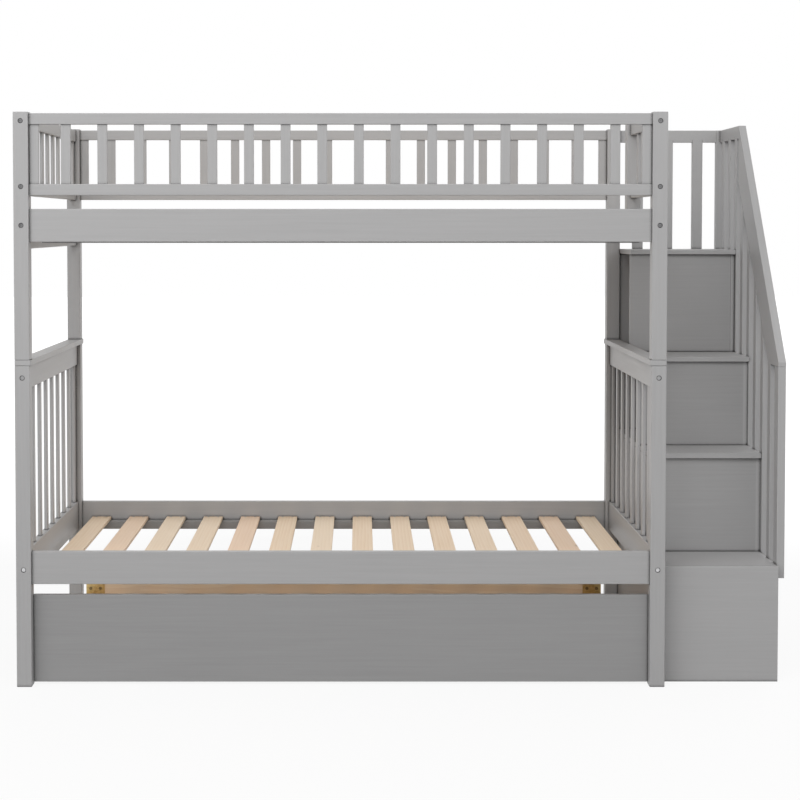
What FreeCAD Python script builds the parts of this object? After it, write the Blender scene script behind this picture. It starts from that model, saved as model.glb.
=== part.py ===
import FreeCAD, Part
import math
import os

# Bunk bed with a staircase at its right end and a trundle that rolls out at the front.
# Millimetres. X runs along the bed towards the stairs, Y from front to back, Z up.
# The origin is on the floor, under the middle of the whole piece of furniture.

# Posts and overall size
post_side = 47.0                # square section
clear_length = 1938.0           # between the posts, along X
bed_depth = 1067.0              # over the posts, along Y
lower_post_height = 1010.0
upper_post_height = 772.0
cap_thickness = 18.0            # board between the lower and the upper posts
cap_overhang = 4.0              # past the posts' inner faces

# Edges and fits
edge_ease = 2.0                 # radius on the edges of every board
ease_limit_share = 0.2          # of the board's thickness
mortise_depth = 8.0
mortise_clearance = 0.15
cut_overrun = 1.0

# Side rails and bed slats
side_rail_height = 103.0
side_rail_thickness = 22.0
rail_setback = 11.0             # behind the posts' outer faces
lower_rail_bottom = 323.0
upper_rail_share = 0.47668      # of the upper posts' height, up to the rails' bottom
lower_slat_drop = 56.0          # from a side rail's top to the slats' top
upper_slat_drop = 64.0
slat_width = 70.0
slat_thickness = 12.0
slat_margin = 38.0              # from the posts to the first slat
slat_end_gap = 1.0
bed_slat_count = 14
ledge_height = 30.0
ledge_thickness = 25.0
ledge_inset = 36.0              # from the posts

# Guards along the upper bunk
guard_rail_height = 35.0
guard_rail_thickness = 20.0
guard_top_drop = 4.0            # below the posts' tops
guard_clearance = 42.0          # from the side rail's top to the low guard rail
guard_slat_width = 30.5
guard_slat_thickness = 12.0
guard_slat_count = 16

# Bed ends
end_rail_thickness = 22.0
end_slat_width = 30.0
end_slat_thickness = 10.0
lower_end_top_height = 76.0
lower_end_bottom_height = 105.0
lower_end_slat_count = 9
upper_end_rail_height = 42.0
upper_end_slat_count = 10
head_end_rail_height = 125.0
entry_guard_depth = 493.0       # from the front post to the entry post
entry_slat_count = 5

# Bolts, barrel nuts and dowels
bolt_radius = 3.0
bolt_fit = 0.25                 # radial room round bolts, nuts and dowels
bolt_head_radius = 6.0
bolt_head_height = 3.2
bolt_socket_width = 5.0         # across the flats
bolt_socket_depth = 2.4
counterbore_radius = 8.0
counterbore_depth = 5.4
bolt_reach = 34.0               # into the rail
nut_setback = 22.0              # from the rail's end
nut_radius = 5.0
nut_web = 3.0                   # wood left at the closed end of the nut's hole
nut_recess = 1.0
side_bolt_spread = 50.0
end_bolt_lift = 6.0             # from the middle of a low end rail
top_bolt_drop = 3.0             # below the middle of an upper end's top rail
bolt_stagger = 11.0             # between the side bolts and the end bolts that they pass
dowel_radius = 5.0
dowel_seat = 30.0               # into each piece

# Stairs
stair_width = 370.0
stair_setback = 68.0            # of the first step behind the front posts
landing_drop = 35.0             # of the landing below the upper side rails
first_rise_share = 0.27039      # of the landing's height
second_rise_share = 0.24100
third_rise_share = 0.22337
first_going_share = 0.25667     # of the stairs' depth
second_going_share = 0.21150
third_going_share = 0.23409
nosing = 15.0
tread_thickness = 16.0
stair_panel = 15.0
stair_back_panel_thickness = 9.0
closed_levels = 2               # lowest levels with a panel on the bed's side

# Stair guard
guard_board = 25.0              # thickness of its posts and rails
guard_setback = 95.0            # of its front post behind the front posts
guard_post_depth = 50.0
guard_post_share = 0.73475      # of the landing's height, up to the front post's top
guard_lap = 43.0                # of posts and slats over the steps
handrail_nose = 14.0            # upright face at the handrail's lower end
handrail_run_share = 0.65998    # of the guard's depth
handrail_drop = 195.0           # height of the inclined board, measured upright
stair_rail_height = 44.0
stair_slat_width = 38.0
stair_slat_thickness = 18.0
stair_slat_count = 8
stair_slat_start_share = 0.11510    # of the guard's depth, to the first slat
stair_slat_end_share = 0.03907      # behind the last slat
stair_dowel_share = 0.75        # of the top rail's height, down to its dowel
corner_post_lap = 15.0          # past the stairs' right side, towards the bed
back_slat_count = 3
back_slat_pitch = 109.0

# Trundle
trundle_setback = 36.0          # of its front panel behind the front posts
trundle_panel_thickness = 18.0
trundle_panel_bottom = 8.0
trundle_panel_height = 277.0
trundle_panel_gap = 1.2         # to each post
trundle_end_gap = 16.0          # from the end boards to the posts
trundle_end_thickness = 18.0
trundle_end_height = 34.0
trundle_rail_bottom = 48.0
trundle_rail_height = 102.0
trundle_rail_thickness = 18.0
trundle_back_setback = 25.0     # in front of the back posts' outer faces
trundle_ledge_height = 25.0
trundle_ledge_thickness = 20.0
trundle_slat_count = 12
trundle_slat_margin = 8.0       # from the brackets to the first slat
caster_board_width = 70.0
caster_board_thickness = 18.0
caster_inset = 80.0             # from the caster board's ends
wheel_radius = 20.0
wheel_width = 18.0
wheel_rim = 5.0
wheel_hub_radius = 7.5
wheel_dish = 3.0                # depth of the hollow between hub and rim
wheel_edge = 1.5
wheel_side_gap = 0.5
axle_radius = 3.0
axle_running_gap = 0.05
axle_head_radius = 4.8
axle_head_height = 1.6
fork_metal = 2.5
fork_cheek_width = 22.0
fork_plate_length = 62.0
fork_plate_width = 44.0
bracket_width = 68.0
bracket_height = 44.0
bracket_foot = 48.0             # along the end board's top
bracket_foot_width = 16.0
bracket_metal = 2.0
screw_head_radius = 6.0
screw_head_height = 1.8
screw_radius = 1.8
screw_length = 9.0
screw_fit = 0.1
screw_share = 0.24              # of the bracket's width, from each end
foot_screw_share = 0.70         # of the foot's length, from the corner

# Levels and faces that the pieces share
bed_length = clear_length + 2 * post_side
left = -(bed_length + stair_width + guard_board) / 2
right = left + bed_length
inner_left = left + post_side
inner_right = right - post_side
front = -bed_depth / 2
back = bed_depth / 2
inner_front = front + post_side
inner_back = back - post_side
upper_post_bottom = lower_post_height + cap_thickness
top = upper_post_bottom + upper_post_height
guard_top = top - guard_top_drop
upper_rail_bottom = upper_post_bottom + upper_rail_share * upper_post_height
upper_rail_top = upper_rail_bottom + side_rail_height
guard_low_bottom = upper_rail_top + guard_clearance
top_bolt_height = guard_top - upper_end_rail_height / 2 - top_bolt_drop
low_bolt_height = guard_low_bottom + upper_end_rail_height / 2 + end_bolt_lift
entry_front = inner_front + entry_guard_depth
stair_left = right
stair_right = stair_left + stair_width
stair_front = front + stair_setback
stair_back = back - guard_board
stair_inside_back = stair_back - stair_back_panel_thickness
axis_x = FreeCAD.Vector(1, 0, 0)
axis_y = FreeCAD.Vector(0, 1, 0)
axis_z = FreeCAD.Vector(0, 0, 1)
ends = {"left": (left, axis_x), "right": (right, -axis_x)}
sides = {"front": (front, axis_y), "back": (back, -axis_y)}

pieces = {}                     # node name to its solids
holes = {}                      # node name to the shapes cut from it


def add(node, solid):
    pieces.setdefault(node, []).append(solid)


def cut_later(node, shape):
    holes.setdefault(node, []).append(shape)


def span(start, length):
    return (start, start + length)


def centred(middle, length):
    return (middle - length / 2, middle + length / 2)


def grown(pair, room):
    return (pair[0] - room, pair[1] + room)


def middle_of(pair):
    return (pair[0] + pair[1]) / 2


def box(x, y, z):
    sizes = [high - low for low, high in (x, y, z)]
    return Part.makeBox(*sizes, FreeCAD.Vector(x[0], y[0], z[0]))


def block(corner, diagonal):
    """A box from one corner to the opposite one, whichever way that lies."""
    far = corner + diagonal
    return box(*[sorted(pair) for pair in zip(corner, far)])


def board(x, y, z):
    """A box whose four edges along its longest side are rounded."""
    solid = box(x, y, z)
    sizes = [high - low for low, high in (x, y, z)]
    longest = sizes.index(max(sizes))
    along = [edge for edge in solid.Edges if round(abs(edge.tangentAt(edge.FirstParameter)[longest]))]
    return solid.makeFillet(min(edge_ease, ease_limit_share * min(sizes)), along)


def eased(x, y, z):
    """A box whose edges are all rounded, so that a groove shows where two of them meet."""
    solid = box(x, y, z)
    return solid.makeFillet(edge_ease, solid.Edges)


def profile(x, points):
    """An outline of (y, z) points, carried from one x to another."""
    corners = [FreeCAD.Vector(x[0], y, z) for y, z in points]
    face = Part.Face(Part.makePolygon(corners + corners[:1]))
    return face.extrude(axis_x * (x[1] - x[0]))


def rod(radius, start, direction, length):
    return Part.makeCylinder(radius, length, start, direction)


def mortise(x, y, z):
    """The room that a slat's end needs."""
    return box(*[grown(pair, mortise_clearance) for pair in (x, y, z)])


def upright(node, rails, x, y, z):
    """A slat whose ends sit in mortises of the rails above and below it."""
    seated = grown(z, mortise_depth)
    add(node, board(x, y, seated))
    cut_later(rails, mortise(x, y, seated))


def hang(node, rails, x, y, z):
    """A slat with only its upper end in a mortise of the rails."""
    seated = (z[0], z[1] + mortise_depth)
    add(node, board(x, y, seated))
    cut_later(rails, mortise(x, y, seated))


def spread(low, high, width, count):
    """Ranges of equal slats from end to end, the first and last flush with the ends."""
    step = (high - low - width) / (count - 1)
    return [span(low + step * index, width) for index in range(count)]


def spaced(low, high, width, count):
    """Ranges of equal slats with equal bays, none of them at an end."""
    step = (high - low) / (count + 1)
    return [centred(low + step * (index + 1), width) for index in range(count)]


def hex_socket(start, direction):
    radius = bolt_socket_width / math.sqrt(3)
    reference = axis_z if abs(direction.z) < abs(direction.x) + abs(direction.y) else axis_x
    sideways = direction.cross(reference)
    corners = []
    for index in range(6):
        angle = math.radians(60 * index)
        corners.append(start + (reference * math.cos(angle) + sideways * math.sin(angle)) * radius)
    face = Part.Face(Part.makePolygon(corners + corners[:1]))
    return face.extrude(direction * bolt_socket_depth)


def bolt(post, rail, head, direction, nut_side, rail_thickness):
    """A bolt from a post's outer face into a rail's end, with its barrel nut.

    nut_side points from the rail's middle to the face that the nut is put in from.
    """
    seat = head + direction * counterbore_depth
    rail_end = head + direction * post_side
    hole_radius = bolt_radius + bolt_fit
    back_off = direction * cut_overrun
    counterbore_length = counterbore_depth + cut_overrun
    cut_later(post, rod(counterbore_radius, head - back_off, direction, counterbore_length))
    cut_later(post, rod(hole_radius, head, direction, post_side + cut_overrun))
    cut_later(rail, rod(hole_radius, rail_end - back_off, direction, bolt_reach + 2 * cut_overrun))
    bolt_length = post_side - counterbore_depth + bolt_reach
    head_top = seat - direction * bolt_head_height
    solid = rod(bolt_head_radius, head_top, direction, bolt_head_height)
    solid = solid.fuse(rod(bolt_radius, seat, direction, bolt_length)).removeSplitter()
    add("frame_bolts", solid.cut(hex_socket(head_top, direction)).Solids[0])
    nut_middle = rail_end + direction * nut_setback
    nut_base = nut_middle - nut_side * (rail_thickness / 2 - nut_web)
    nut_length = rail_thickness - nut_web - nut_recess
    nut_room = nut_length + nut_recess + cut_overrun
    cut_later(rail, rod(nut_radius + bolt_fit, nut_base, nut_side, nut_room))
    nut = rod(nut_radius, nut_base, nut_side, nut_length)
    nut = nut.cut(rod(hole_radius, nut_middle - direction * 2 * nut_radius, direction, 4 * nut_radius))
    add("barrel_nuts", nut.Solids[0])


def dowel(first, second, joint, direction, between=None, thickness=0):
    """A pin across a butt joint, or through a board that lies between the two pieces."""
    start = joint - direction * dowel_seat
    length = 2 * dowel_seat + thickness
    add("dowels", rod(dowel_radius, start, direction, length))
    for node in (first, second, between):
        if node:
            cut_later(node, rod(dowel_radius + bolt_fit, start, direction, length))


# Posts, caps and the dowels between them
def make_posts():
    for end in ends:
        post_x = span(left, post_side) if end == "left" else span(inner_right, post_side)
        cap_x = (post_x[0], post_x[1] + cap_overhang)
        if end == "right":
            cap_x = (post_x[0] - cap_overhang, post_x[1])
        add("end_caps", eased(cap_x, (front, back), span(lower_post_height, cap_thickness)))
        for side in sides:
            post_y = span(front, post_side) if side == "front" else span(inner_back, post_side)
            lower = f"lower_post_{side}_{end}"
            upper = f"upper_post_{side}_{end}"
            add(lower, eased(post_x, post_y, (0, lower_post_height)))
            add(upper, eased(post_x, post_y, span(upper_post_bottom, upper_post_height)))
            joint = FreeCAD.Vector(middle_of(post_x), middle_of(post_y), lower_post_height)
            dowel(lower, upper, joint, axis_z, "end_caps", cap_thickness)


# One bunk's side rails, ledges and slats, with the bolts at the rails' ends
def make_bunk(level, rail_bottom, slat_drop):
    rail_z = span(rail_bottom, side_rail_height)
    slat_z = span(rail_z[1] - slat_drop - slat_thickness, slat_thickness)
    ledge_x = grown((inner_left, inner_right), -ledge_inset)
    rail_faces = []
    for side, (outer, inward) in sides.items():
        rail = f"{level}_side_rail_{side}"
        step = inward.y
        rail_y = sorted((outer + step * rail_setback, outer + step * (rail_setback + side_rail_thickness)))
        face = outer + step * (rail_setback + side_rail_thickness)
        rail_faces.append(face)
        add(rail, board((inner_left, inner_right), rail_y, rail_z))
        ledge_y = sorted((face, face + step * ledge_thickness))
        add("slat_ledges", board(ledge_x, ledge_y, span(slat_z[0] - ledge_height, ledge_height)))
        for end, (post_face, direction) in ends.items():
            for height in centred(middle_of(rail_z), side_bolt_spread):
                head = FreeCAD.Vector(post_face, middle_of(rail_y), height)
                bolt(f"{level}_post_{side}_{end}", rail, head, direction, axis_y, side_rail_thickness)
    slat_y = grown(rail_faces, -slat_end_gap)
    first, last = grown((inner_left, inner_right), -slat_margin)
    for slat_x in spread(first, last, slat_width, bed_slat_count):
        add(f"{level}_bed_slats", board(slat_x, slat_y, slat_z))


# Guards along the upper bunk's two sides
def make_side_guards():
    top_z = (guard_top - guard_rail_height, guard_top)
    low_z = span(guard_low_bottom, guard_rail_height)
    top_bolt = top_bolt_height + bolt_stagger
    low_bolt = low_bolt_height - bolt_stagger
    for side, (outer, inward) in sides.items():
        rails = f"{side}_guard_rails"
        middle = outer + inward.y * (rail_setback + guard_rail_thickness / 2)
        rail_y = centred(middle, guard_rail_thickness)
        slat_y = centred(middle, guard_slat_thickness)
        for rail_z, height in ((top_z, top_bolt), (low_z, low_bolt)):
            add(rails, board((inner_left, inner_right), rail_y, rail_z))
            for end, (post_face, direction) in ends.items():
                head = FreeCAD.Vector(post_face, middle, height)
                bolt(f"upper_post_{side}_{end}", rails, head, direction, axis_y, guard_rail_thickness)
        between = (low_z[1], top_z[0])
        for stile_x in spread(inner_left, inner_right, guard_slat_width, 2):
            add(f"{side}_guard_slats", board(stile_x, slat_y, between))
        for slat_x in spaced(inner_left, inner_right, guard_slat_width, guard_slat_count):
            upright(f"{side}_guard_slats", rails, slat_x, slat_y, between)


# Lower head and foot: two rails and a row of slats each
def make_lower_ends():
    top_z = (lower_post_height - lower_end_top_height, lower_post_height)
    low_z = span(lower_rail_bottom, lower_end_bottom_height)
    for name, end in (("head", "left"), ("foot", "right")):
        post_face, inward = ends[end]
        middle = post_face + inward.x * post_side / 2
        rails = f"lower_{name}_rails"
        for rail_z, height in ((top_z, middle_of(top_z)), (low_z, middle_of(low_z) - end_bolt_lift)):
            add(rails, board(centred(middle, end_rail_thickness), (inner_front, inner_back), rail_z))
            for side, (outer, direction) in sides.items():
                head = FreeCAD.Vector(middle, outer, height)
                bolt(f"lower_post_{side}_{end}", rails, head, direction, -inward, end_rail_thickness)
        slat_x = centred(middle, end_slat_thickness)
        for slat_y in spread(inner_front, inner_back, end_slat_width, lower_end_slat_count):
            upright(f"lower_{name}_slats", rails, slat_x, slat_y, (low_z[1], top_z[0]))


# Upper ends: a full guard at the head, a short one beside the entry at the foot
def make_upper_ends():
    top_z = (guard_top - upper_end_rail_height, guard_top)
    low_z = span(guard_low_bottom, upper_end_rail_height)
    end_rail_z = {
        "left": (upper_rail_top - head_end_rail_height, upper_rail_top),
        "right": (upper_rail_bottom, upper_rail_top),
    }
    for name, end in (("head", "left"), ("foot", "right")):
        post_face, inward = ends[end]
        middle = post_face + inward.x * post_side / 2
        rail_x = centred(middle, end_rail_thickness)
        end_rail = "upper_end_rails"
        add(end_rail, board(rail_x, (inner_front, inner_back), end_rail_z[end]))
        guard = "upper_head" if name == "head" else "entry_guard"
        guard_back = inner_back if name == "head" else entry_front
        for side, (outer, direction) in sides.items():
            post = f"upper_post_{side}_{end}"
            head = FreeCAD.Vector(middle, outer, upper_rail_bottom + side_rail_height / 2)
            bolt(post, end_rail, head, direction, -inward, end_rail_thickness)
            if side == "back" and name == "foot":
                post = "entry_post"
                outer = entry_front + post_side
            for height in (top_bolt_height, low_bolt_height):
                head = FreeCAD.Vector(middle, outer, height)
                bolt(post, f"{guard}_rails", head, direction, -inward, end_rail_thickness)
        for rail_z in (top_z, low_z):
            add(f"{guard}_rails", board(rail_x, (inner_front, guard_back), rail_z))
        slat_x = centred(middle, end_slat_thickness)
        rows = spread(inner_front, inner_back, end_slat_width, upper_end_slat_count)
        if name == "foot":
            rows = spread(inner_front, entry_front, end_slat_width, entry_slat_count + 1)[:-1]
        for slat_y in rows:
            upright(f"{guard}_slats", f"{guard}_rails", slat_x, slat_y, (low_z[1], top_z[0]))
    entry_y = span(entry_front, post_side)
    add("entry_post", board((inner_right, right), entry_y, (upper_rail_top, guard_top)))
    joint = FreeCAD.Vector(right - post_side / 2, middle_of(entry_y), upper_rail_top)
    dowel("upper_end_rails", "entry_post", joint, axis_z)


landing_top = upper_rail_bottom - landing_drop
rise_shares = (first_rise_share, second_rise_share, third_rise_share)
going_shares = (first_going_share, second_going_share, third_going_share)
tread_tops = [landing_top * sum(rise_shares[:index + 1]) for index in range(len(rise_shares))]
tread_tops.append(landing_top)
stair_depth = stair_back - stair_front
tread_fronts = [stair_front + stair_depth * sum(going_shares[:index]) for index in range(len(tread_tops))]
riser_fronts = [tread_fronts[0]] + [tread_front + nosing for tread_front in tread_fronts[1:]]


# Stair boxes: each level is a riser and side panels, closed by the tread on top of it
def make_stairs():
    whole_x = (stair_left, stair_right)
    left_x = span(stair_left, stair_panel)
    right_x = (stair_right - stair_panel, stair_right)
    add("stair_front_panel", board(whole_x, span(stair_front, stair_panel), (0, tread_tops[0])))
    back_z = (0, landing_top - tread_thickness)
    add("stair_back_panel", board(whole_x, (stair_inside_back, stair_back), back_z))
    for level, (tread_top, riser_front) in enumerate(zip(tread_tops, riser_fronts)):
        wall_z = (tread_tops[level - 1] if level else 0, tread_top - tread_thickness)
        wall_y = (riser_front, stair_inside_back)
        tread_y = (tread_fronts[level], stair_inside_back)
        tread = f"stair_tread_{level + 1}"
        closed = level < closed_levels
        if level == 0:
            wall_y = (stair_front + stair_panel, stair_inside_back)
            tread_y = wall_y
        else:
            riser_x = (left_x[1] if closed else stair_left, right_x[0])
            add("stair_risers", board(riser_x, span(riser_front, stair_panel), wall_z))
        if tread_top == landing_top:
            tread = "stair_landing"
            tread_y = (tread_y[0], stair_back)
        add("stair_right_panels", board(right_x, wall_y, wall_z))
        if closed:
            add("stair_left_panels", board(left_x, wall_y, wall_z))
        add(tread, board(whole_x, tread_y, span(wall_z[1], tread_thickness)))


def step_beside(place):
    """Top of the step that a guard slat at this y stands beside."""
    return tread_tops[sum(1 for riser_front in riser_fronts[1:] if riser_front < place)]


def is_sloped(direction):
    return not any(direction.isParallel(axis, math.radians(1)) for axis in (axis_x, axis_y, axis_z))


# Guard of the stairs: posts, inclined handrail board, top rails and slats
def make_stair_guard():
    board_x = span(stair_right, guard_board)
    slat_x = span(stair_right, stair_slat_thickness)
    guard_front = front + guard_setback
    guard_depth = stair_back - guard_front
    guard_post_top = guard_post_share * landing_top
    post_z = (tread_tops[0] - guard_lap, guard_post_top)
    add("stair_guard_posts", eased(board_x, span(guard_front, guard_post_depth), post_z))
    corner_x = (stair_right - corner_post_lap, stair_right + guard_board)
    corner_z = (landing_top - guard_lap, guard_top)
    add("stair_guard_posts", board(corner_x, (stair_back, back), corner_z))

    handrail_run = handrail_run_share * guard_depth
    handrail_back = guard_front + handrail_run
    slope = (guard_top - guard_post_top - handrail_nose) / handrail_run
    heel = handrail_back - (guard_top - handrail_drop - guard_post_top) / slope
    underside = [(guard_front, guard_post_top), (heel, guard_post_top)]
    underside += [(handrail_back, guard_top - handrail_drop)]
    crest = [(handrail_back, guard_top), (guard_front, guard_post_top + handrail_nose)]
    handrail = profile(board_x, underside + crest)
    sloped = [edge for edge in handrail.Edges if is_sloped(edge.tangentAt(edge.FirstParameter))]
    add("stair_handrail", handrail.makeFillet(edge_ease, sloped))

    rail_z = (guard_top - stair_rail_height, guard_top)
    add("stair_top_rails", board(board_x, (handrail_back, stair_back), rail_z))
    add("stair_top_rails", board((stair_left, corner_x[0]), (stair_back, back), rail_z))
    dowel_z = guard_top - stair_dowel_share * stair_rail_height
    joint = FreeCAD.Vector(stair_left, (stair_back + back) / 2, dowel_z)
    dowel("upper_post_back_right", "stair_top_rails", joint, axis_x)

    above = [(handrail_back, top), (guard_front, top)]
    over_handrail = profile(grown(slat_x, cut_overrun), underside + above)
    first_slat = guard_front + stair_slat_start_share * guard_depth
    last_slat = stair_back - stair_slat_end_share * guard_depth
    for slat_y in spread(first_slat, last_slat, stair_slat_width, stair_slat_count):
        slat_z = (step_beside(slat_y[0]) - guard_lap, rail_z[0])
        if slat_y[1] < handrail_back:
            add("stair_guard_slats", board(slat_x, slat_y, slat_z).cut(over_handrail).Solids[0])
        else:
            hang("stair_guard_slats", "stair_top_rails", slat_x, slat_y, slat_z)
    slat_y = span(stair_back, stair_slat_thickness)
    for index in range(back_slat_count):
        from_middle = back_slat_pitch * (index - (back_slat_count - 1) / 2)
        slat_x = centred(middle_of((stair_left, corner_x[0])) + from_middle, stair_slat_width)
        hang("stair_guard_slats", "stair_top_rails", slat_x, slat_y, (corner_z[0], rail_z[0]))


trundle_front = front + trundle_setback
trundle_panel_back = trundle_front + trundle_panel_thickness
trundle_back = back - trundle_back_setback
trundle_rail_face = trundle_back - trundle_rail_thickness
trundle_left = inner_left + trundle_end_gap
trundle_right = inner_right - trundle_end_gap
trundle_end_top = trundle_rail_bottom + trundle_end_height


# Trundle box: front panel, back rail, end boards, ledges, slats and the boards over the casters
def make_trundle():
    rail_z = span(trundle_rail_bottom, trundle_rail_height)
    panel_x = grown((inner_left, inner_right), -trundle_panel_gap)
    panel_z = span(trundle_panel_bottom, trundle_panel_height)
    add("trundle_front_panel", board(panel_x, (trundle_front, trundle_panel_back), panel_z))
    whole_x = (trundle_left, trundle_right)
    inside_x = grown(whole_x, -trundle_end_thickness)
    add("trundle_back_rail", board(whole_x, (trundle_rail_face, trundle_back), rail_z))
    for end_x in ((whole_x[0], inside_x[0]), (inside_x[1], whole_x[1])):
        end_z = (trundle_rail_bottom, trundle_end_top)
        add("trundle_end_boards", board(end_x, (trundle_panel_back, trundle_rail_face), end_z))
    ledge_z = span(trundle_rail_bottom, trundle_ledge_height)
    front_ledge = span(trundle_panel_back, trundle_ledge_thickness)
    back_ledge = (trundle_rail_face - trundle_ledge_thickness, trundle_rail_face)
    for ledge_y in (front_ledge, back_ledge):
        add("trundle_ledges", board(inside_x, ledge_y, ledge_z))
    slat_y = grown((trundle_panel_back, trundle_rail_face), -slat_end_gap)
    first, last = grown(whole_x, -bracket_width - trundle_slat_margin)
    for slat_x in spread(first, last, slat_width, trundle_slat_count):
        add("trundle_bed_slats", board(slat_x, slat_y, span(ledge_z[1], slat_thickness)))
    board_y = (front_ledge[1], back_ledge[0])
    board_z = span(trundle_rail_bottom, caster_board_thickness)
    left_board = span(inside_x[0], caster_board_width)
    right_board = (inside_x[1] - caster_board_width, inside_x[1])
    for end, board_x in (("left", left_board), ("right", right_board)):
        add("trundle_caster_boards", board(board_x, board_y, board_z))
        add_caster(f"caster_wheel_front_{end}", middle_of(board_x), board_y[0] + caster_inset)
        add_caster(f"caster_wheel_back_{end}", middle_of(board_x), board_y[1] - caster_inset)
    for corner_x, across in ((trundle_left, axis_x), (trundle_right, -axis_x)):
        for corner_y, along, mate in ((trundle_panel_back, axis_y, "trundle_front_panel"),
                                      (trundle_rail_face, -axis_y, "trundle_back_rail")):
            add_bracket(FreeCAD.Vector(corner_x, corner_y, trundle_end_top), across, along, mate)


# Fixed caster under a caster board: fork, axle pin and wheel
def add_caster(wheel, x, y):
    fork_gap = wheel_width / 2 + wheel_side_gap
    plate_z = (trundle_rail_bottom - fork_metal, trundle_rail_bottom)
    fork = board(centred(x, fork_plate_width), centred(y, fork_plate_length), plate_z)
    cheek_z = (wheel_radius, plate_z[0])
    for cheek_x in (span(x - fork_gap - fork_metal, fork_metal), span(x + fork_gap, fork_metal)):
        eye = FreeCAD.Vector(cheek_x[0], y, wheel_radius)
        fork = fork.fuse(box(cheek_x, centred(y, fork_cheek_width), cheek_z))
        fork = fork.fuse(rod(fork_cheek_width / 2, eye, axis_x, fork_metal))
    pin_start = FreeCAD.Vector(x - fork_gap - fork_metal, y, wheel_radius)
    pin_length = 2 * (fork_gap + fork_metal)
    bore_start = pin_start - axis_x * cut_overrun
    fork = fork.cut(rod(axle_radius + axle_running_gap, bore_start, axis_x, pin_length + 2 * cut_overrun))
    add("caster_forks", fork.removeSplitter().Solids[0])
    pin = rod(axle_radius, pin_start, axis_x, pin_length)
    pin = pin.fuse(rod(axle_head_radius, pin_start, -axis_x, axle_head_height))
    pin = pin.fuse(rod(axle_head_radius, pin_start + axis_x * pin_length, axis_x, axle_head_height))
    add("caster_axles", pin.removeSplitter().Solids[0])
    add(wheel, make_wheel(x, y))


def make_wheel(x, y):
    hub = FreeCAD.Vector(x, y, wheel_radius)
    side = hub - axis_x * (wheel_width / 2)
    solid = rod(wheel_radius, side, axis_x, wheel_width)
    rims = [edge for edge in solid.Edges if edge.Closed]
    solid = solid.makeFillet(wheel_edge, rims)
    for face, direction in ((side, axis_x), (side + axis_x * wheel_width, -axis_x)):
        outside = face - direction * cut_overrun
        ring = rod(wheel_radius - wheel_rim, outside, direction, wheel_dish + cut_overrun)
        solid = solid.cut(ring.cut(rod(wheel_hub_radius, outside, direction, wheel_dish + cut_overrun)))
    bore_start = side - axis_x * cut_overrun
    bore = rod(axle_radius + axle_running_gap, bore_start, axis_x, wheel_width + 2 * cut_overrun)
    return solid.cut(bore).Solids[0]


# Angle bracket that stands on an end board, with two screws into the panel or rail and one down
def add_bracket(corner, across, along, mate):
    bracket = block(corner, across * bracket_width + along * bracket_metal + axis_z * bracket_height)
    foot = across * bracket_foot_width + along * bracket_foot + axis_z * bracket_metal
    bracket = bracket.fuse(block(corner, foot)).removeSplitter()
    middle = corner + axis_z * (bracket_height / 2) + along * bracket_metal
    heads = []
    for place in (screw_share, 1 - screw_share):
        heads.append((middle + across * (bracket_width * place), along, mate))
    foot_head = corner + across * (bracket_foot_width / 2) + along * (bracket_foot * foot_screw_share)
    heads.append((foot_head + axis_z * bracket_metal, axis_z, "trundle_end_boards"))
    for head, outward, wood in heads:
        bracket = bracket.cut(rod(screw_radius + screw_fit, head, -outward, bracket_metal))
        cut_later(wood, rod(screw_radius + screw_fit, head, -outward, screw_length + screw_fit))
        screw = rod(screw_radius, head, -outward, screw_length)
        screw = screw.fuse(rod(screw_head_radius, head, outward, screw_head_height))
        add("bracket_screws", screw.removeSplitter().Solids[0])
    add("trundle_brackets", bracket.Solids[0])


make_posts()
make_bunk("lower", lower_rail_bottom, lower_slat_drop)
make_bunk("upper", upper_rail_bottom, upper_slat_drop)
make_side_guards()
make_lower_ends()
make_upper_ends()
make_stairs()
make_stair_guard()
make_trundle()

os.makedirs("parts", exist_ok=True)
for node, solids in pieces.items():
    if node in holes:
        solids = [part for solid in solids for part in solid.cut(holes[node]).Solids]
    shape = solids[0] if len(solids) == 1 else Part.makeCompound(solids)
    shape.exportStep(f"parts/{node}.step")
print(len(pieces), "nodes,", sum(len(solids) for solids in pieces.values()), "solids")
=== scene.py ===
import math

import bpy
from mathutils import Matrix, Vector


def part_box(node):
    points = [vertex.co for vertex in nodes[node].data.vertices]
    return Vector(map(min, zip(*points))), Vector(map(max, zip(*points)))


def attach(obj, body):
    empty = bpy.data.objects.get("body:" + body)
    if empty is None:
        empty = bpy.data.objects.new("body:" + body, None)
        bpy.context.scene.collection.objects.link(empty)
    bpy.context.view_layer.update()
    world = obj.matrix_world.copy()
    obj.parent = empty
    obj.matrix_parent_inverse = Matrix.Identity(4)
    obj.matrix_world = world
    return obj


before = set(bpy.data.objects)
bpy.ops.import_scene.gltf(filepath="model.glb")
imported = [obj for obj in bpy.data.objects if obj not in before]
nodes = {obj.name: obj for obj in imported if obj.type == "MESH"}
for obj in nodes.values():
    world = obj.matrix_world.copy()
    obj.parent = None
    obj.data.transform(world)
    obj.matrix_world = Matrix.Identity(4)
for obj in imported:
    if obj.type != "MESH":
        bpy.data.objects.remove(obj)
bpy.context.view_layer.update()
print("frame loaded,", len(nodes), "nodes")


# node tree helpers: a socket is set by its name, anything else is a setting of the node
def addNode(tree, kind, sockets=None, **settings):
    made = tree.nodes.new(kind)
    for key, value in settings.items():
        setattr(made, key, value)
    for key, value in (sockets or {}).items():
        made.inputs[key].default_value = value
    return made


# a socket takes a number, a colour or another node's output
def feed(tree, socket, value):
    if isinstance(value, (int, float)):
        socket.default_value = value
    elif isinstance(value, tuple):
        socket.default_value = (*value, 1.0)
    else:
        tree.links.new(value, socket)


def startMaterial(name):
    made = bpy.data.materials.new(name)
    made.use_nodes = True
    tree = made.node_tree
    return made, tree, tree.nodes["Principled BSDF"]


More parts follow.
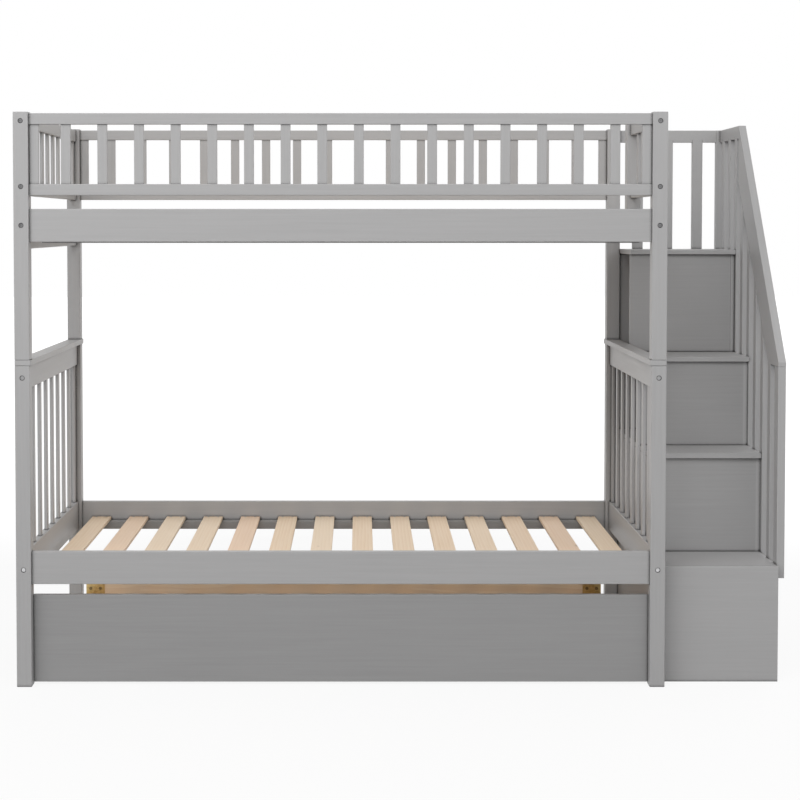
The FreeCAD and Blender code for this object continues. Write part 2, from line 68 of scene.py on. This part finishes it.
def setSurface(tree, shader, colour, roughness, normal):
    feed(tree, shader.inputs["Base Color"], colour)
    feed(tree, shader.inputs["Roughness"], roughness)
    feed(tree, shader.inputs["Normal"], normal)


def objectPlace(tree):
    return addNode(tree, "ShaderNodeTexCoord").outputs["Object"]


def coordinate(tree, place, axis):
    made = addNode(tree, "ShaderNodeSeparateXYZ")
    feed(tree, made.inputs[0], place)
    return made.outputs[axis]


def turnedBack(tree, place, slope):
    made = addNode(tree, "ShaderNodeVectorRotate", {"Angle": -slope}, rotation_type="X_AXIS")
    feed(tree, made.inputs["Vector"], place)
    return made.outputs["Vector"]


# two scales: along the grain and across it
def stretched(tree, place, along, scales):
    lengthwise, crosswise = scales
    scale = [crosswise] * 3
    scale["XYZ".index(along)] = lengthwise
    made = addNode(tree, "ShaderNodeMapping", {"Scale": scale})
    feed(tree, made.inputs["Vector"], place)
    return made.outputs["Vector"]


plainNoise = {"Scale": 1.0, "Detail": 2.0, "Roughness": 0.55, "Distortion": 0.0}


def noise(tree, place, changes):
    made = addNode(tree, "ShaderNodeTexNoise", {**plainNoise, **changes})
    feed(tree, made.inputs["Vector"], place)
    return made.outputs["Fac"]


# four limits: the old low and high, then the new low and high
def ranged(tree, value, limits):
    names = ("From Min", "From Max", "To Min", "To Max")
    made = addNode(tree, "ShaderNodeMapRange", dict(zip(names, limits)))
    feed(tree, made.inputs["Value"], value)
    return made.outputs["Result"]


def mathNode(tree, operation, first, second):
    made = addNode(tree, "ShaderNodeMath", operation=operation)
    feed(tree, made.inputs[0], first)
    feed(tree, made.inputs[1], second)
    return made.outputs["Value"]


def vectorMath(tree, operation, *vectors, sockets=None):
    made = addNode(tree, "ShaderNodeVectorMath", sockets, operation=operation)
    for socket, vector in zip(made.inputs, vectors):
        feed(tree, socket, vector)
    return made.outputs


# a Mix node's colour sockets go by number, because its socket names repeat
mixSockets = {"factor": 0, "first": 6, "second": 7, "result": 2}


def mixColour(tree, factor, first, second):
    made = addNode(tree, "ShaderNodeMix", data_type="RGBA")
    feed(tree, made.inputs[mixSockets["factor"]], factor)
    feed(tree, made.inputs[mixSockets["first"]], first)
    feed(tree, made.inputs[mixSockets["second"]], second)
    return made.outputs[mixSockets["result"]]


def bumpFrom(tree, height, strengthAndDistance):
    strength, distance = strengthAndDistance
    made = addNode(tree, "ShaderNodeBump", {"Strength": strength, "Distance": distance})
    feed(tree, made.inputs["Height"], height)
    return made.outputs["Normal"]


def shaded(colour, shade):
    return tuple(shade * channel for channel in colour)


# grey paint over planed wood: the grain shows faintly, edges are rubbed pale, and painted shade
# darkens the joints and corners between boards
greyPaint = {
    "deep": (0.388, 0.385, 0.387),
    "pale": (0.420, 0.417, 0.419),
    "rubbed": (0.520, 0.516, 0.512),
    # the colour of the painted shade in joints and corners
    "joint": (0.035, 0.034, 0.033),
    "panelPaintedShade": 0.76,                         # painted shade: a darker copy of the paint for the trundle's front and the slat ledges, which sit set back behind the rails
    # painted shade: a darker copy of the paint for the risers, set back under the treads
    "riserPaintedShade": 0.88,
    "fibreScales": (3.5, 150.0),
    "fibre": {"Detail": 4.0, "Roughness": 0.6, "Distortion": 0.35},
    "fibreRange": (0.32, 0.68, 0.0, 1.0),
    "cloud": {"Scale": 2.6},
    "cloudRange": (0.3, 0.7, 0.0, 0.35),
    "maskSamples": 4,
    "edgeRadius": 0.0025,
    "edgeRange": (0.995, 0.90, 0.0, 1.0),
    "rubPatch": {"Scale": 38.0, "Detail": 3.0},
    "rubRange": (0.42, 0.62, 0.15, 1.0),
    "rubAmount": 0.28,
    # reach, range and amount of the painted shade in joints and corners
    "jointShadeReach": 0.010,
    "jointShadeRange": (0.84, 0.56, 0.0, 1.0),
    "jointShadeAmount": 0.97,
    "roughRange": (0.3, 0.7, 0.40, 0.54),
    "bump": (0.10, 0.0006),
    "coat": {"Coat Weight": 0.12, "Coat Roughness": 0.38},
}


# 1 along the rounded and cut edges of a board, 0 on its faces
def edgeMask(tree):
    bevel = addNode(tree, "ShaderNodeBevel", {"Radius": greyPaint["edgeRadius"]},
                    samples=greyPaint["maskSamples"])
    surface = addNode(tree, "ShaderNodeNewGeometry")
    agreement = vectorMath(tree, "DOT_PRODUCT", bevel.outputs["Normal"], surface.outputs["Normal"])
    return ranged(tree, agreement["Value"], greyPaint["edgeRange"])


# painted shade: 1 where ambient occlusion finds a joint or corner between boards, 0 on open faces
def paintedJointShadeMask(tree):
    shelter = addNode(tree, "ShaderNodeAmbientOcclusion", {"Distance": greyPaint["jointShadeReach"]},
                      samples=greyPaint["maskSamples"])
    return ranged(tree, shelter.outputs["AO"], greyPaint["jointShadeRange"])


def paintedWood(name, along, slope=0.0, shade=1.0):
    made, tree, shader = startMaterial(name)
    tones = ("deep", "pale", "rubbed", "joint")
    deep, pale, rubbed, joint = [shaded(greyPaint[key], shade) for key in tones]
    place = objectPlace(tree)
    if slope:
        place = turnedBack(tree, place, slope)
    fibrePlace = stretched(tree, place, along, greyPaint["fibreScales"])
    fibres = noise(tree, fibrePlace, greyPaint["fibre"])
    clouds = noise(tree, place, greyPaint["cloud"])
    tone = mixColour(tree, ranged(tree, fibres, greyPaint["fibreRange"]), deep, pale)
    tone = mixColour(tree, ranged(tree, clouds, greyPaint["cloudRange"]), tone, pale)

    patches = ranged(tree, noise(tree, place, greyPaint["rubPatch"]), greyPaint["rubRange"])
    rub = mathNode(tree, "MULTIPLY", edgeMask(tree), patches)
    rub = mathNode(tree, "MULTIPLY", rub, greyPaint["rubAmount"])
    tone = mixColour(tree, rub, tone, rubbed)
    # painted shade: the tone darkens in joints and corners
    shadow = mathNode(tree, "MULTIPLY", paintedJointShadeMask(tree), greyPaint["jointShadeAmount"])
    tone = mixColour(tree, shadow, tone, joint)

    roughness = ranged(tree, fibres, greyPaint["roughRange"])
    setSurface(tree, shader, tone, roughness, bumpFrom(tree, fibres, greyPaint["bump"]))
    for key, value in greyPaint["coat"].items():
        feed(tree, shader.inputs[key], value)
    return made


# bare pine: growth rings, fibres and a few knots, with a tone of its own for each slat
barePine = {
    "early": (0.920, 0.735, 0.540),
    "late": (0.800, 0.585, 0.390),
    "cream": (0.930, 0.800, 0.632),
    "pinkish": (0.910, 0.660, 0.500),
    "knot": (0.270, 0.150, 0.075),
    "railPaintedShade": 0.85,                          # painted shade: a darker copy of the pine for the trundle's back rail and ledges, which lie in shade under the bed
    "slatShift": 6.0,                           # how far the grain moves from slat to slat
    "ringScales": (0.055, 1.0),                 # rings run far along the board
    "ring": {"Scale": 26.0, "Distortion": 5.0, "Detail": 2.0, "Detail Scale": 0.8},
    "fibreScales": (4.0, 170.0),
    "fibre": {"Detail": 4.0, "Roughness": 0.6, "Distortion": 0.2},
    "fadeRange": (0.3, 0.7, 0.35, 1.0),         # fibres break up the rings
    "lateRange": (0.0, 1.0, 0.0, 0.75),
    "creamRange": (0.5, 1.0, 0.0, 0.55),
    "pinkishRange": (0.5, 0.0, 0.0, 0.50),
    "knotScales": (2.6, 7.0),
    "knotRange": (0.075, 0.03, 0.0, 1.0),
    "knotChoice": (0.66, 0.70, 0.0, 0.8),       # only some cells hold a knot
    "roughRange": (0.3, 0.7, 0.50, 0.66),
    "bump": (0.16, 0.0007),
}


# one random value and colour for each slat, or for the whole node without a pitch
def slatNoise(tree, place, across, pitch, start):
    made = addNode(tree, "ShaderNodeTexWhiteNoise", noise_dimensions="1D")
    if pitch:
        fromStart = mathNode(tree, "SUBTRACT", coordinate(tree, place, across), start)
        count = mathNode(tree, "DIVIDE", fromStart, pitch)
        feed(tree, made.inputs["W"], mathNode(tree, "FLOOR", count, 0.0))
    return made.outputs


def knotMask(tree, place, along):
    cells = addNode(tree, "ShaderNodeTexVoronoi", {"Scale": 1.0})
    feed(tree, cells.inputs["Vector"], stretched(tree, place, along, barePine["knotScales"]))
    chance = addNode(tree, "ShaderNodeSeparateColor")
    feed(tree, chance.inputs[0], cells.outputs["Color"])
    chosen = ranged(tree, chance.outputs[0], barePine["knotChoice"])
    spot = ranged(tree, cells.outputs["Distance"], barePine["knotRange"])
    return mathNode(tree, "MULTIPLY", spot, chosen)


def pineWood(name, along, pitch=None, start=0.0, shade=1.0):
    made, tree, shader = startMaterial(name)
    tones = ("early", "late", "cream", "pinkish")
    early, late, cream, pinkish = [shaded(barePine[key], shade) for key in tones]
    across = "Y" if along == "X" else "X"
    place = objectPlace(tree)
    slat = slatNoise(tree, place, across, pitch, start)
    shift = vectorMath(tree, "SCALE", slat["Color"], sockets={"Scale": barePine["slatShift"]})
    place = vectorMath(tree, "ADD", place, shift["Vector"])["Vector"]

    rings = addNode(tree, "ShaderNodeTexWave", barePine["ring"], wave_type="BANDS",
                    bands_direction=across, wave_profile="SAW")
    feed(tree, rings.inputs["Vector"], stretched(tree, place, along, barePine["ringScales"]))
    fibrePlace = stretched(tree, place, along, barePine["fibreScales"])
    fibres = noise(tree, fibrePlace, barePine["fibre"])
    fade = ranged(tree, fibres, barePine["fadeRange"])
    grain = mathNode(tree, "MULTIPLY", rings.outputs["Fac"], fade)
    tone = mixColour(tree, ranged(tree, grain, barePine["lateRange"]), early, late)
    tone = mixColour(tree, ranged(tree, slat["Value"], barePine["creamRange"]), tone, cream)
    tone = mixColour(tree, ranged(tree, slat["Value"], barePine["pinkishRange"]), tone, pinkish)
    tone = mixColour(tree, knotMask(tree, place, along), tone, barePine["knot"])

    roughness = ranged(tree, fibres, barePine["roughRange"])
    setSurface(tree, shader, tone, roughness, bumpFrom(tree, fibres, barePine["bump"]))
    return made


# plated metal: fine scratches in the roughness and the tone
plating = {
    "cloud": {"Scale": 90.0, "Detail": 4.0},
    "cloudShare": 0.6,
    "scratchScales": (60.0, 900.0),
    "scratchShare": 0.4,
    "spread": (0.35, 0.65),
    "bump": (0.06, 0.0002),
}
platedMetals = {
    "boltZinc": {"dull": (0.480, 0.480, 0.485), "bright": (0.680, 0.680, 0.690),
                 "roughness": (0.28, 0.46),
                 # the higher bolts are darker, from these heights up
                 "bands": [(0.60, (0.330, 0.330, 0.332)), (1.02, (0.170, 0.170, 0.173))]},
    "yellowZinc": {"dull": (0.430, 0.300, 0.120), "bright": (0.680, 0.520, 0.250),
                   "roughness": (0.26, 0.42)},
    "screwZinc": {"dull": (0.150, 0.110, 0.055), "bright": (0.300, 0.225, 0.110),
                  "roughness": (0.30, 0.48)},
    "forkZinc": {"dull": (0.360, 0.365, 0.375), "bright": (0.520, 0.525, 0.535),
                 "roughness": (0.30, 0.50)},
}


def platedMetal(name):
    finish = platedMetals[name]
    made, tree, shader = startMaterial(name)
    place = objectPlace(tree)
    clouds = noise(tree, place, plating["cloud"])
    scratches = noise(tree, stretched(tree, place, "X", plating["scratchScales"]), {})
    both = mathNode(tree, "ADD", mathNode(tree, "MULTIPLY", clouds, plating["cloudShare"]),
                    mathNode(tree, "MULTIPLY", scratches, plating["scratchShare"]))
    polish = ranged(tree, both, (*plating["spread"], 0.0, 1.0))
    tone = mixColour(tree, polish, finish["dull"], finish["bright"])
    for height, darker in finish.get("bands", []):
        above = mathNode(tree, "GREATER_THAN", coordinate(tree, place, "Z"), height)
        tone = mixColour(tree, above, tone, darker)
    roughness = ranged(tree, both, (*plating["spread"], *finish["roughness"]))
    setSurface(tree, shader, tone, roughness, bumpFrom(tree, scratches, plating["bump"]))
    feed(tree, shader.inputs["Metallic"], 1.0)
    return made


# caster wheels: black moulded plastic with patches of dust
wheelPlastic = {
    "black": (0.022, 0.022, 0.023),
    "dust": (0.090, 0.088, 0.084),
    "dustPatch": {"Scale": 55.0, "Detail": 4.0},
    "dustRange": (0.45, 0.75, 0.0, 0.7),
    "roughRange": (0.0, 0.7, 0.42, 0.62),
    "pit": {"Scale": 900.0},
    "bump": (0.12, 0.0001),
}


def mouldedPlastic(name):
    made, tree, shader = startMaterial(name)
    place = objectPlace(tree)
    pits = noise(tree, place, wheelPlastic["pit"])
    patches = noise(tree, place, wheelPlastic["dustPatch"])
    dust = ranged(tree, patches, wheelPlastic["dustRange"])
    tone = mixColour(tree, dust, wheelPlastic["black"], wheelPlastic["dust"])
    roughness = ranged(tree, dust, wheelPlastic["roughRange"])
    setSurface(tree, shader, tone, roughness, bumpFrom(tree, pits, wheelPlastic["bump"]))
    return made


# which way the painted boards of each node run: the rest run upright
runsAlongX = ["lower_side_rail_front", "lower_side_rail_back",
              "upper_side_rail_front", "upper_side_rail_back",
              "front_guard_rails", "back_guard_rails", "stair_front_panel",
              "stair_tread_1", "stair_tread_2", "stair_tread_3", "stair_landing"]
runsAlongY = ["end_caps", "lower_head_rails", "lower_foot_rails", "upper_head_rails",
              "upper_end_rails", "entry_guard_rails", "stair_top_rails"]
paintedShadeAlongX = ["trundle_front_panel", "slat_ledges"]
handrailSlope = math.radians(51.4)
pineAlongX = ["trundle_back_rail", "trundle_ledges"]
pineAlongY = ["trundle_end_boards", "trundle_caster_boards"]
slatCounts = {"lower_bed_slats": 14, "upper_bed_slats": 14, "trundle_bed_slats": 12}
slatWidth = 0.070
metalNodes = {"boltZinc": ["frame_bolts", "barrel_nuts", "dowels", "caster_axles"],
              "yellowZinc": ["trundle_brackets"],
              "screwZinc": ["bracket_screws"],
              "forkZinc": ["caster_forks"]}
wheelNodes = [name for name in nodes if name.startswith("caster_wheel")]


def slatStep(name):
    low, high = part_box(name)
    return (high.x - low.x - slatWidth) / (slatCounts[name] - 1)


# each slat's tone changes in the gap before it
def slatPine(name):
    step = slatStep(name)
    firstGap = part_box(name)[0].x - (step - slatWidth) / 2
    return pineWood("pine_" + name, "Y", step, firstGap)


coverings = [
    (paintedWood("greyPaintX", "X"), runsAlongX),
    (paintedWood("greyPaintY", "Y"), runsAlongY),
    # painted shade: the trundle's front and the slat ledges get a darker copy of the grey paint
    (paintedWood("greyPaintInShade", "X", shade=greyPaint["panelPaintedShade"]), paintedShadeAlongX),
    # painted shade: the risers get a darker copy of the grey paint
    (paintedWood("greyPaintRiserInShade", "X", shade=greyPaint["riserPaintedShade"]), ["stair_risers"]),
    (paintedWood("greyPaintSloped", "Y", slope=handrailSlope), ["stair_handrail"]),
    # painted shade: the trundle's back rail and ledges get a darker copy of the pine
    (pineWood("pineX", "X", shade=barePine["railPaintedShade"]), pineAlongX),
    (pineWood("pineY", "Y"), pineAlongY),
]
coverings += [(slatPine(name), [name]) for name in slatCounts]
coverings += [(platedMetal(finish), names) for finish, names in metalNodes.items()]
coverings += [(mouldedPlastic("wheelPlastic"), wheelNodes)]
covered = [name for material, names in coverings for name in names]
runsUpright = [name for name in nodes if name not in covered]
coverings += [(paintedWood("greyPaintZ", "Z"), runsUpright)]
for material, names in coverings:
    for name in names:
        for materialSlot in nodes[name].material_slots:
            materialSlot.material = material
print("materials set on", len(covered) + len(runsUpright), "nodes")


# countersunk screws that hold the bed slats on their ledges
slatScrew = {
    "radius": 0.0040,
    "sides": 18,
    "proud": 0.0007,
    "rimBevel": 0.0003,
    "socketRadius": 0.0019,
    "socketDepth": 0.0006,
    "topNormal": 0.9,                           # faces that point up more than this are the top
    "smoothAngle": 40.0,
    "fromEnd": 0.012,
    "spread": 0.036,                            # between the two screws at a slat's end
}


def selectTop(mesh):
    bpy.ops.object.mode_set(mode="OBJECT")
    for face in mesh.polygons:
        face.select = face.normal.z > slatScrew["topNormal"]
    for edge in mesh.edges:
        edge.select = False
    bpy.ops.object.mode_set(mode="EDIT")


def modelScrew():
    rim = slatScrew["rimBevel"]
    bpy.ops.object.select_all(action="DESELECT")
    bpy.ops.mesh.primitive_cylinder_add(vertices=slatScrew["sides"], radius=slatScrew["radius"],
                                        depth=slatScrew["proud"] * 2)
    screw = bpy.context.object
    bpy.ops.object.mode_set(mode="EDIT")
    bpy.ops.mesh.select_mode(type="FACE")
    bpy.ops.mesh.select_all(action="DESELECT")
    selectTop(screw.data)
    bpy.ops.mesh.inset(thickness=rim, depth=0.0)
    bpy.ops.transform.translate(value=(0, 0, rim))
    bpy.ops.mesh.inset(thickness=slatScrew["radius"] - rim - slatScrew["socketRadius"], depth=0.0)
    socketDown = {"value": (0, 0, -slatScrew["socketDepth"])}
    bpy.ops.mesh.extrude_region_move(TRANSFORM_OT_translate=socketDown)
    bpy.ops.object.mode_set(mode="OBJECT")
    return screw


# two screws at each end of each slat
def screwPlaces(name):
    low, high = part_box(name)
    step = slatStep(name)
    for index in range(slatCounts[name]):
        middle = low.x + slatWidth / 2 + step * index
        for y in (low.y + slatScrew["fromEnd"], high.y - slatScrew["fromEnd"]):
            for side in (-1, 1):
                yield Vector((middle + side * slatScrew["spread"] / 2, y, high.z))


def screwDown(name, body):
    model = modelScrew()
    copies = []
    for place in screwPlaces(name):
        copy = model.copy()
        copy.data = model.data.copy()
        copy.location = place
        bpy.context.scene.collection.objects.link(copy)
        copies.append(copy)
    bpy.data.objects.remove(model)
    bpy.ops.object.select_all(action="DESELECT")
    for copy in copies:
        copy.select_set(True)
    bpy.context.view_layer.objects.active = copies[0]
    bpy.ops.object.join()
    screws = bpy.context.object
    bpy.ops.object.transform_apply(location=True, rotation=True, scale=True)
    screws.name = name.replace("bed_slats", "slat_screws")
    screws.data.name = screws.name
    screws.data.materials.append(bpy.data.materials["boltZinc"])
    bpy.ops.object.shade_smooth_by_angle(angle=math.radians(slatScrew["smoothAngle"]))
    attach(screws, body)


for name in slatCounts:
    screwDown(name, "trundle" if name.startswith("trundle") else "bed_frame")
print("slat screws made")


# floor and backdrop: white where they are seen, and the floor keeps a faint shadow
studio = {
    "white": (1.0, 1.0, 1.0, 1.0),
    "floorSize": 60.0,
    "floorColour": (0.32, 0.32, 0.32),
    "floorRoughness": 0.9,
    "glowStrength": 1.20,
    "glowRange": (2.2, 6.0, 0.74, 1.0),         # the glow's share grows with the distance
    "ambient": (1.0, 0.995, 0.99),
    "ambientStrength": 0.51,
}
lamps = {
    "key": {"place": (-1.0, -4.9, 5.2), "aim": (0.0, 0.0, 1.0),
            "size": (4.6, 2.4), "power": 173.0},
    "fill": {"place": (-3.8, -3.8, 2.3), "aim": (0.4, 0.0, 1.1),
             "size": (3.0, 3.0), "power": 46.0},
    "stairSide": {"place": (2.6, -5.0, 3.0), "aim": (1.0, 0.0, 1.0),
                  "size": (2.0, 2.0), "power": 24.0},
    "rear": {"place": (3.9, 4.2, 2.6), "aim": (0.2, 0.0, 0.9),
             "size": (3.4, 2.4), "power": 50.0},
    "rightSide": {"place": (3.0, 0.5, 0.95), "aim": (1.2, 0.0, 0.95),
                  "size": (2.0, 1.2), "power": 8.0},
}


# 1 where the camera sees the surface, straight or in metal, and 0 where it only gives light
def seenRay(tree):
    ray = addNode(tree, "ShaderNodeLightPath").outputs
    seen = mathNode(tree, "MAXIMUM", ray["Is Camera Ray"], ray["Is Glossy Ray"])
    return mathNode(tree, "MAXIMUM", seen, ray["Is Transmission Ray"])


def mixShaders(tree, factor, first, second, output):
    mix = addNode(tree, "ShaderNodeMixShader")
    for socket, value in zip(mix.inputs, (factor, first.outputs[0], second.outputs[0])):
        feed(tree, socket, value)
    feed(tree, tree.nodes[output].inputs["Surface"], mix.outputs[0])


def makeFloor():
    bpy.ops.object.select_all(action="DESELECT")
    bpy.ops.mesh.primitive_plane_add(size=studio["floorSize"])
    floor = bpy.context.object
    floor.name = "studio_floor"
    made, tree, shader = startMaterial("studioFloor")
    feed(tree, shader.inputs["Base Color"], studio["floorColour"])
    feed(tree, shader.inputs["Roughness"], studio["floorRoughness"])
    glow = addNode(tree, "ShaderNodeEmission", {"Color": studio["white"],
                                                "Strength": studio["glowStrength"]})
    away = vectorMath(tree, "LENGTH", objectPlace(tree))["Value"]
    share = ranged(tree, away, studio["glowRange"])
    factor = mathNode(tree, "MULTIPLY", seenRay(tree), share)
    mixShaders(tree, factor, shader, glow, "Material Output")
    floor.data.materials.append(made)


def makeWorld():
    world = bpy.data.worlds.new("studioWorld")
    bpy.context.scene.world = world
    world.use_nodes = True
    tree = world.node_tree
    ambient = tree.nodes["Background"]
    feed(tree, ambient.inputs["Color"], studio["ambient"])
    feed(tree, ambient.inputs["Strength"], studio["ambientStrength"])
    white = addNode(tree, "ShaderNodeBackground", {"Color": studio["white"], "Strength": 1.0})
    mixShaders(tree, seenRay(tree), ambient, white, "World Output")


def makeLamp(name):
    settings = lamps[name]
    data = bpy.data.lights.new(name, "AREA")
    data.shape = "RECTANGLE"
    data.size, data.size_y = settings["size"]
    data.energy = settings["power"]
    lamp = bpy.data.objects.new(name, data)
    lamp.location = settings["place"]
    aim = Vector(settings["aim"]) - lamp.location
    lamp.rotation_euler = aim.to_track_quat("-Z", "Y").to_euler()
    lamp.visible_camera = False
    bpy.context.scene.collection.objects.link(lamp)


makeFloor()
makeWorld()
for name in lamps:
    makeLamp(name)
print("studio set")


# the photograph's view: square to the front and tilted a little down
viewCamera = {
    "place": (-0.1380, -6.1053, 1.4484),
    "tilt": 2.264,
    "lens": 80.674,
    "sensor": 36.0,
    "shift": (0.0504, -0.130),
}
cameraData = bpy.data.cameras.new("viewCamera")
cameraData.lens = viewCamera["lens"]
cameraData.sensor_width = viewCamera["sensor"]
cameraData.shift_x, cameraData.shift_y = viewCamera["shift"]
camera = bpy.data.objects.new("viewCamera", cameraData)
camera.location = viewCamera["place"]
camera.rotation_euler = (math.radians(90 - viewCamera["tilt"]), 0, 0)
bpy.context.scene.collection.objects.link(camera)
bpy.context.scene.camera = camera
bpy.context.scene.view_settings.view_transform = "Standard"

print("scene ready")
